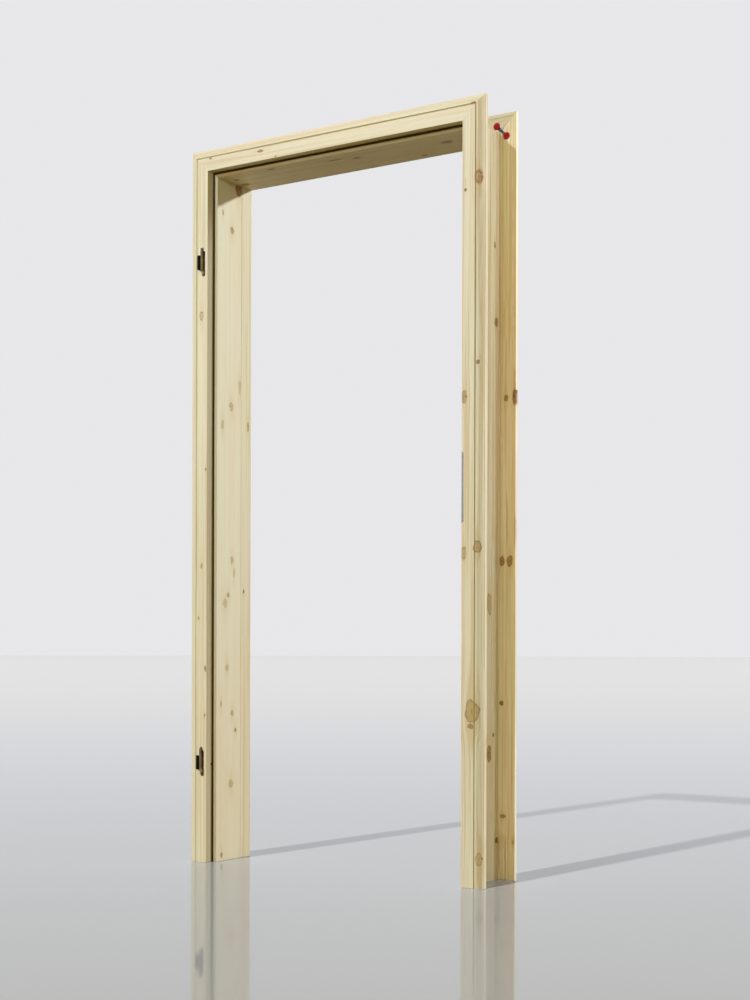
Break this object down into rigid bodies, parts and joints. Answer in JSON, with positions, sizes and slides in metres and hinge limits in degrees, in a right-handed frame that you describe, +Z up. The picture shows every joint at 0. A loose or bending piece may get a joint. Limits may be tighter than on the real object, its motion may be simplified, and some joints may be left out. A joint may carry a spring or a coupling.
{
  "type": "wooden door frame",
  "caption": "Adjustable pine door frame that closes round a wall edge: moulded casings, rebated lining with seal, hinge halves, strike plate and sliding back casing with cam-locked mitres.",
  "frame": {"origin": "on the floor, centred between the jambs and halfway through the depth from the hinge knuckles to the back face", "axes": "+Z up, +X to the right and +Y from the moulded front (hinge side face) towards the back, through the wall"},
  "size_m": [0.967, 0.2011, 2.046],
  "materials": {
    "pine": "planed and sanded, unvarnished",
    "dowel_wood": "raw",
    "seal_rubber": "matt",
    "blued_steel": "blue zinc",
    "bright_steel": "nickel plated",
    "strike_steel": "grey nickel plated",
    "screw_steel": "yellow zinc",
    "black_plastic": "satin",
    "red_plastic": "moulded"
  },
  "bodies": {
    "frame": {"front_casing_left": "pine", "front_casing_right": "pine", "front_casing_head": "pine", "lining_left": "pine", "lining_right": "pine", "lining_head": "pine", "seal_left": "seal_rubber", "seal_right": "seal_rubber", "seal_head": "seal_rubber", "front_bolt_left": "blued_steel", "front_bolt_right": "blued_steel", "lining_dowel_1": "dowel_wood", "lining_dowel_2": "dowel_wood", "lining_dowel_3": "dowel_wood", "lining_dowel_4": "dowel_wood", "front_casing_dowel_1": "dowel_wood", "front_casing_dowel_2": "dowel_wood", "hinge_upper_leaf": "bright_steel", "hinge_upper_sleeve": "black_plastic", "hinge_upper_receiver": "bright_steel", "hinge_upper_screw_1": "screw_steel", "hinge_upper_screw_2": "screw_steel", "hinge_lower_leaf": "bright_steel", "hinge_lower_sleeve": "black_plastic", "hinge_lower_receiver": "bright_steel", "hinge_lower_screw_1": "screw_steel", "hinge_lower_screw_2": "screw_steel", "strike_plate": "strike_steel", "strike_screw_1": "screw_steel", "strike_screw_2": "screw_steel", "strike_screw_3": "screw_steel"},
    "back_half": {"rear_casing_left": "pine", "rear_casing_right": "pine", "rear_casing_head": "pine", "rear_bolt_left": "blued_steel", "rear_bolt_right": "blued_steel", "rear_casing_dowel_1": "dowel_wood", "rear_casing_dowel_2": "dowel_wood"},
    "front_left_head_cam": {"front_cam_left_head": "red_plastic"},
    "front_left_jamb_cam": {"front_cam_left_jamb": "red_plastic"},
    "front_right_head_cam": {"front_cam_right_head": "red_plastic"},
    "front_right_jamb_cam": {"front_cam_right_jamb": "red_plastic"},
    "rear_left_head_cam": {"rear_cam_left_head": "red_plastic"},
    "rear_left_jamb_cam": {"rear_cam_left_jamb": "red_plastic"},
    "rear_right_head_cam": {"rear_cam_right_head": "red_plastic"},
    "rear_right_jamb_cam": {"rear_cam_right_jamb": "red_plastic"}
  },
  "joints": [
    {"name": "back_half_slide", "type": "slide", "parent": "frame", "child": "back_half", "axis": [0, 1, 0], "range_m": [0, 0.02]},
    {"name": "front_left_head_cam_turn", "type": "hinge", "parent": "frame", "child": "front_left_head_cam", "pos_m": [-0.42295, -0.076, 2.01515], "axis": [0, 1, 0], "range_deg": [0, 180]},
    {"name": "front_left_jamb_cam_turn", "type": "hinge", "parent": "frame", "child": "front_left_jamb_cam", "pos_m": [-0.45265, -0.076, 1.98545], "axis": [0, 1, 0], "range_deg": [0, 180]},
    {"name": "front_right_head_cam_turn", "type": "hinge", "parent": "frame", "child": "front_right_head_cam", "pos_m": [0.42295, -0.076, 2.01515], "axis": [0, 1, 0], "range_deg": [0, 180]},
    {"name": "front_right_jamb_cam_turn", "type": "hinge", "parent": "frame", "child": "front_right_jamb_cam", "pos_m": [0.45265, -0.076, 1.98545], "axis": [0, 1, 0], "range_deg": [0, 180]},
    {"name": "rear_left_head_cam_turn", "type": "hinge", "parent": "back_half", "child": "rear_left_head_cam", "pos_m": [-0.42295, 0.0982, 2.01515], "axis": [0, -1, 0], "range_deg": [0, 180]},
    {"name": "rear_left_jamb_cam_turn", "type": "hinge", "parent": "back_half", "child": "rear_left_jamb_cam", "pos_m": [-0.45265, 0.0982, 1.98545], "axis": [0, -1, 0], "range_deg": [0, 180]},
    {"name": "rear_right_head_cam_turn", "type": "hinge", "parent": "back_half", "child": "rear_right_head_cam", "pos_m": [0.42295, 0.0982, 2.01515], "axis": [0, -1, 0], "range_deg": [0, 180]},
    {"name": "rear_right_jamb_cam_turn", "type": "hinge", "parent": "back_half", "child": "rear_right_jamb_cam", "pos_m": [0.45265, 0.0982, 1.98545], "axis": [0, -1, 0], "range_deg": [0, 180]}
  ]
}
